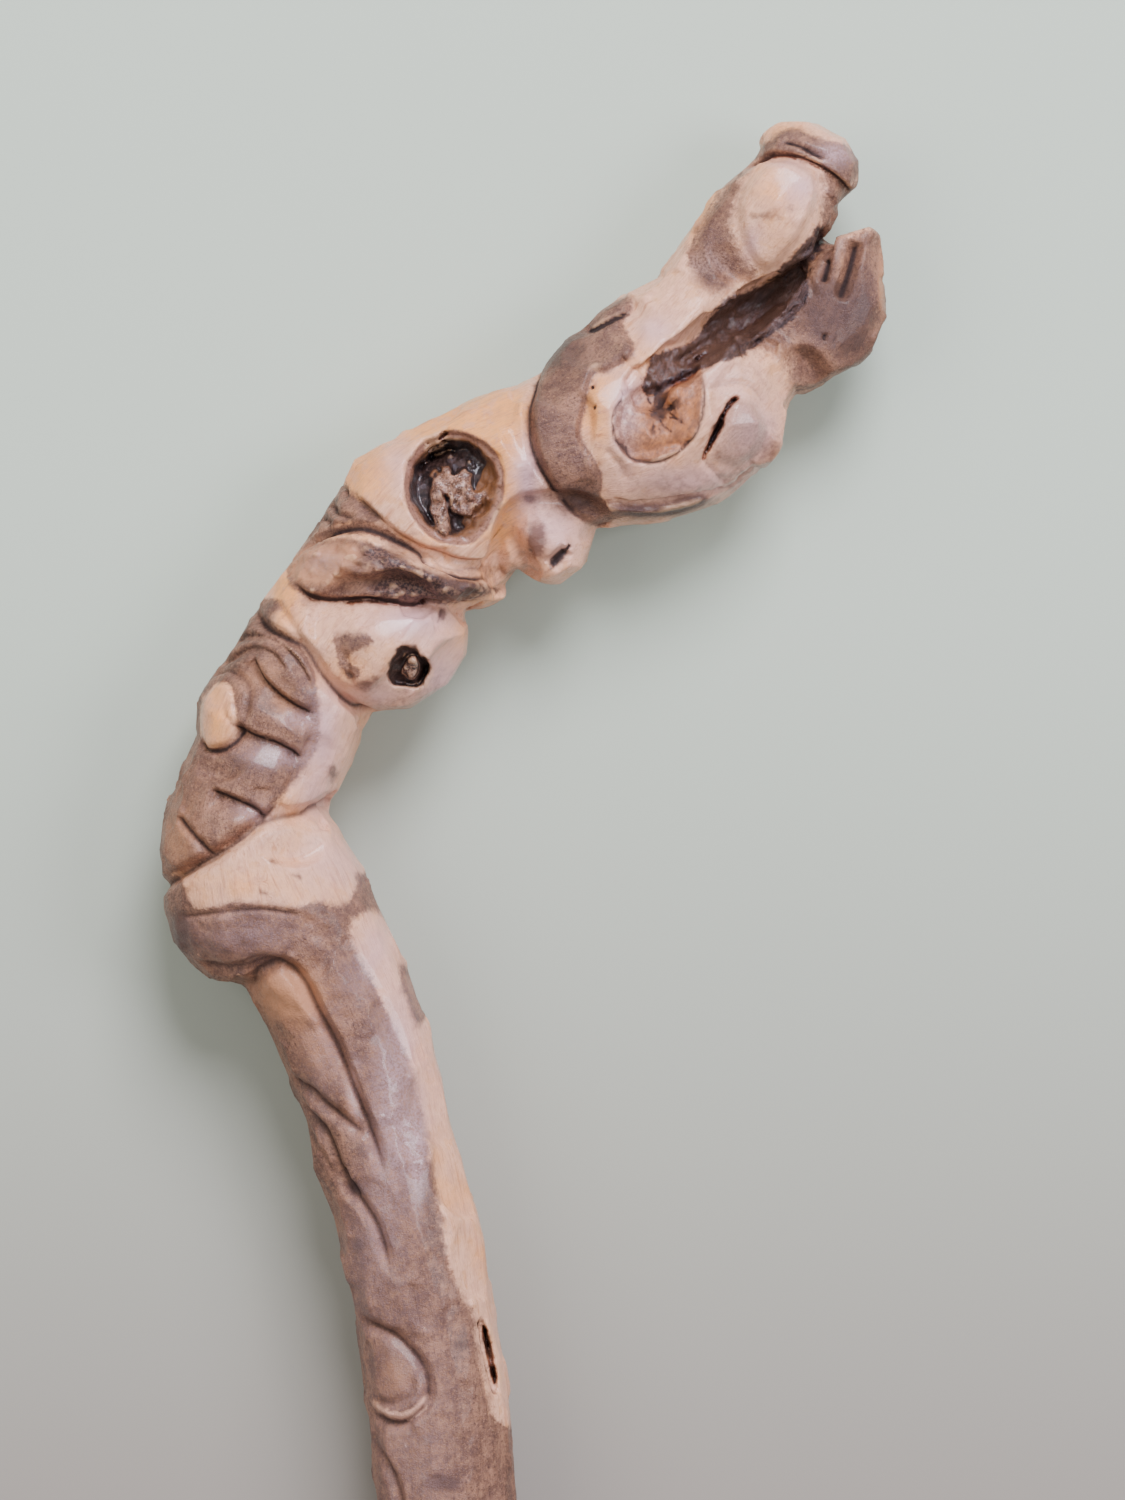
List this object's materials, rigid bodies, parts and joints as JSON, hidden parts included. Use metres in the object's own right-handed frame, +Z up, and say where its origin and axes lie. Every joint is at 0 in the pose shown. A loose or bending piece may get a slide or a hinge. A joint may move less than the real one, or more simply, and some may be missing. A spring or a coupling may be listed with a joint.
{
  "type": "bishop crosier",
  "caption": "Carved natural-wood crosier: a long hand staff that swells, bends and ends in a whittled crook with a forked tip, varnished over its bark colours.",
  "frame": {"origin": "on the ground under the middle of the staff's bounding box, with the staff lying on its side", "axes": "+Y up the staff from the foot to the crook, +X towards the side the crook turns to, +Z up, which is the carved front"},
  "size_m": [0.1804, 1.6, 0.0462],
  "materials": {
    "varnished_wood": "gloss varnish over pale sapwood and brown inner bark"
  },
  "bodies": {
    "root": {"staff": "varnished_wood"}
  },
  "joints": []
}
